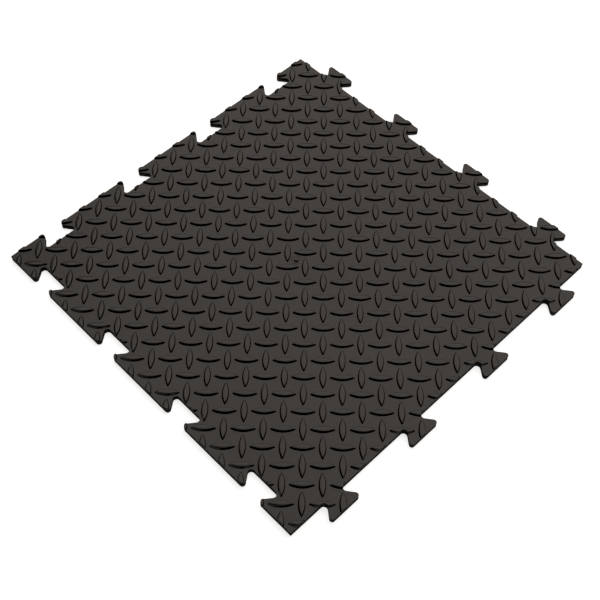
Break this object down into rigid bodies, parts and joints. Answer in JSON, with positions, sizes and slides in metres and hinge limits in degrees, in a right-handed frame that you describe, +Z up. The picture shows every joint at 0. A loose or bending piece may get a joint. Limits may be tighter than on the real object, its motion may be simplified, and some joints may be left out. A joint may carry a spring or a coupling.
{
  "type": "anti fatigue mat",
  "caption": "Square interlocking anti-fatigue floor tile with a chequered tread of raised lens-shaped bars, and dovetail tabs and matching sockets along its edges.",
  "frame": {"origin": "on the floor under the middle of the tile's square body, without its tabs", "axes": "+Z up through the thickness, from the grip backing to the tread; +X and +Y out of the two edges that carry tabs, so the sockets open towards -X and -Y"},
  "size_m": [0.5202, 0.5202, 0.01],
  "materials": {
    "tread_pvc": "black flexible vinyl with a fine moulded grain and a soft satin sheen on the raised bars",
    "core_foam": "matt black closed-cell vinyl foam, with fine cut cells at the edge",
    "backing_rubber": "matt black rubber with a fine pebbled grip texture"
  },
  "bodies": {
    "root": {"tread_layer": "tread_pvc", "cushion_core": "core_foam", "grip_backing": "backing_rubber"}
  },
  "joints": []
}
